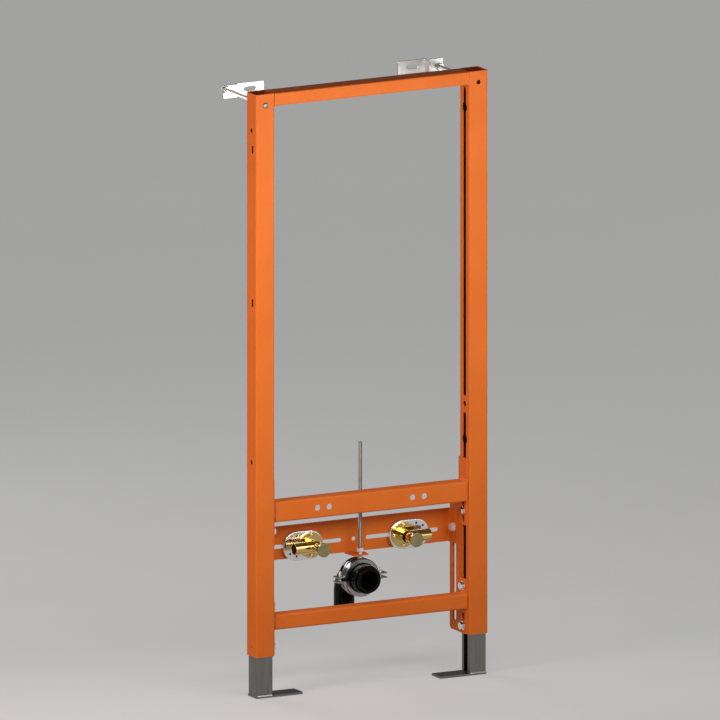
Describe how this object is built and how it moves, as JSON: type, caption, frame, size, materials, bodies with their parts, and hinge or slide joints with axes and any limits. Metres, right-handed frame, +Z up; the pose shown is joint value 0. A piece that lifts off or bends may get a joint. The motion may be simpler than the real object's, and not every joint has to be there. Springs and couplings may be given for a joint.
{
  "type": "wall hung bidet frame",
  "caption": "Tall steel frame on telescopic legs that carries a wall hung bidet: cross rails, brass tap elbows, a waste bend in a pipe clamp and wall brackets.",
  "frame": {"origin": "on the underside of the left foot plate, on the axis of the left leg", "axes": "+X to the right along the frame as seen from the room, +Y back towards the wall, +Z up"},
  "size_m": [0.5, 0.1745, 1.18],
  "materials": {
    "orange_paint": "satin powder coat",
    "galvanised_steel": "dull galvanised",
    "zinc": "bright zinc plate",
    "brass": "machined",
    "black_plastic": "gloss",
    "rubber": "matt"
  },
  "bodies": {
    "feet": {"left_leg": "galvanised_steel", "right_leg": "galvanised_steel", "left_foot_plate": "galvanised_steel", "right_foot_plate": "galvanised_steel"},
    "frame": {"clamp_lining": "rubber", "clamp_lower_half": "zinc", "clamp_screws": "zinc", "clamp_upper_half": "zinc", "drain_bend": "black_plastic", "drain_rod": "zinc", "drain_rod_nut": "zinc", "drain_seal": "rubber", "left_mount_nuts": "zinc", "left_post": "orange_paint", "left_side_bolts": "zinc", "left_side_plate": "orange_paint", "left_slot_nuts": "zinc", "left_tap_elbow": "brass", "left_tap_mount": "zinc", "left_tap_plate_bolt": "zinc", "left_tap_plate_nut": "zinc", "left_tap_plug": "brass", "left_tap_screws": "brass", "left_wall_nuts": "zinc", "left_wall_plate": "zinc", "left_wall_rod": "zinc", "lower_rail": "orange_paint", "right_mount_nuts": "zinc", "right_post": "orange_paint", "right_side_bolts": "zinc", "right_side_plate": "orange_paint", "right_slot_nuts": "zinc", "right_tap_elbow": "brass", "right_tap_mount": "zinc", "right_tap_plate_bolt": "zinc", "right_tap_plate_nut": "zinc", "right_tap_plug": "brass", "right_tap_screws": "brass", "right_wall_nuts": "zinc", "right_wall_plate": "zinc", "right_wall_rod": "zinc", "tap_plate": "orange_paint", "top_bar": "orange_paint", "upper_rail": "orange_paint"}
  },
  "joints": [
    {"name": "height_adjust", "type": "slide", "parent": "feet", "child": "frame", "axis": [0, 0, 1], "range_m": [-0.065, 0.125]}
  ]
}
